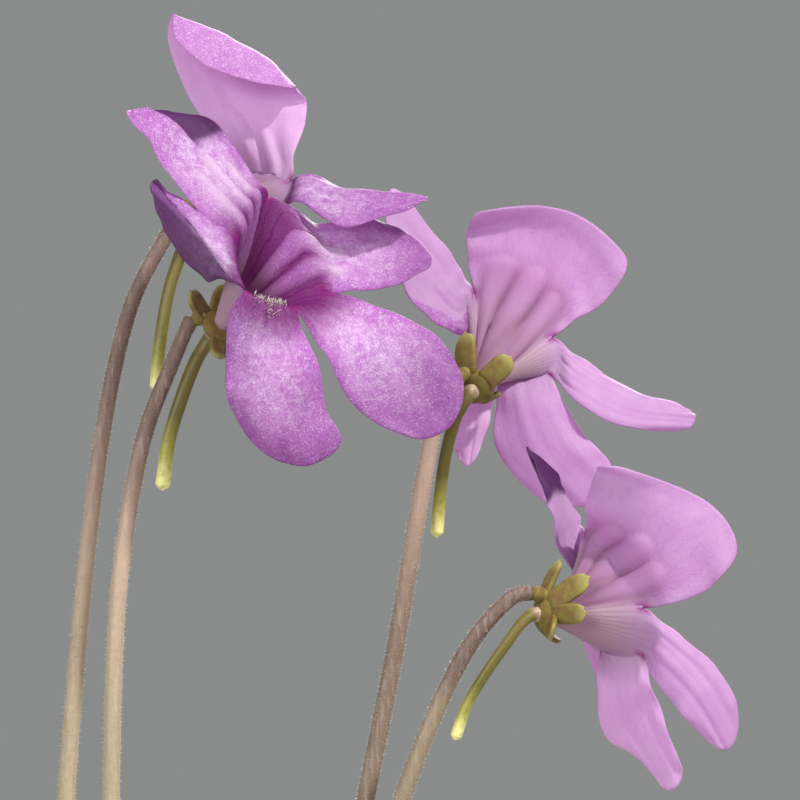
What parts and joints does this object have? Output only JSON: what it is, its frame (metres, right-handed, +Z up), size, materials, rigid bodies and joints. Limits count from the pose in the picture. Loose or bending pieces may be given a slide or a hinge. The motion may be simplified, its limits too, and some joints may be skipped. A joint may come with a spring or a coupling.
{
  "type": "potted butterwort",
  "caption": "Butterwort in a round clay pot: a flat rosette of fleshy leaves with lilac spurred flowers on tall bare stalks.",
  "frame": {"origin": "middle of the pot's underside, on the surface that the pot stands on", "axes": "+Z up along the pot's axis; +X to the side that the flowers lean and look towards; -Y towards the viewer of the picture"},
  "size_m": [0.0948, 0.084, 0.2155],
  "materials": {
    "pot": "matt unglazed clay",
    "soil": "rough damp peat mix",
    "stem": "satin plant skin",
    "leaf": "greasy satin with fine glands",
    "stalk": "satin with fine hairs",
    "sepal": "satin plant skin",
    "petal": "thin translucent petal with a sparkle",
    "spur": "translucent satin"
  },
  "bodies": {
    "root": {"pot": "pot", "soil": "soil", "crown": "stem", "leaf_01": "leaf", "leaf_02": "leaf", "leaf_03": "leaf", "leaf_04": "leaf", "leaf_05": "leaf", "leaf_06": "leaf", "leaf_07": "leaf", "leaf_08": "leaf", "leaf_09": "leaf", "leaf_10": "leaf", "leaf_11": "leaf", "leaf_12": "leaf", "leaf_13": "leaf", "leaf_14": "leaf", "stalk_a": "stalk", "calyx_a": "sepal", "corolla_a": "petal", "spur_a": "spur", "stalk_b": "stalk", "calyx_b": "sepal", "corolla_b": "petal", "spur_b": "spur", "stalk_c": "stalk", "calyx_c": "sepal", "corolla_c": "petal", "spur_c": "spur", "stalk_d": "stalk", "calyx_d": "sepal", "corolla_d": "petal", "spur_d": "spur"}
  },
  "joints": []
}
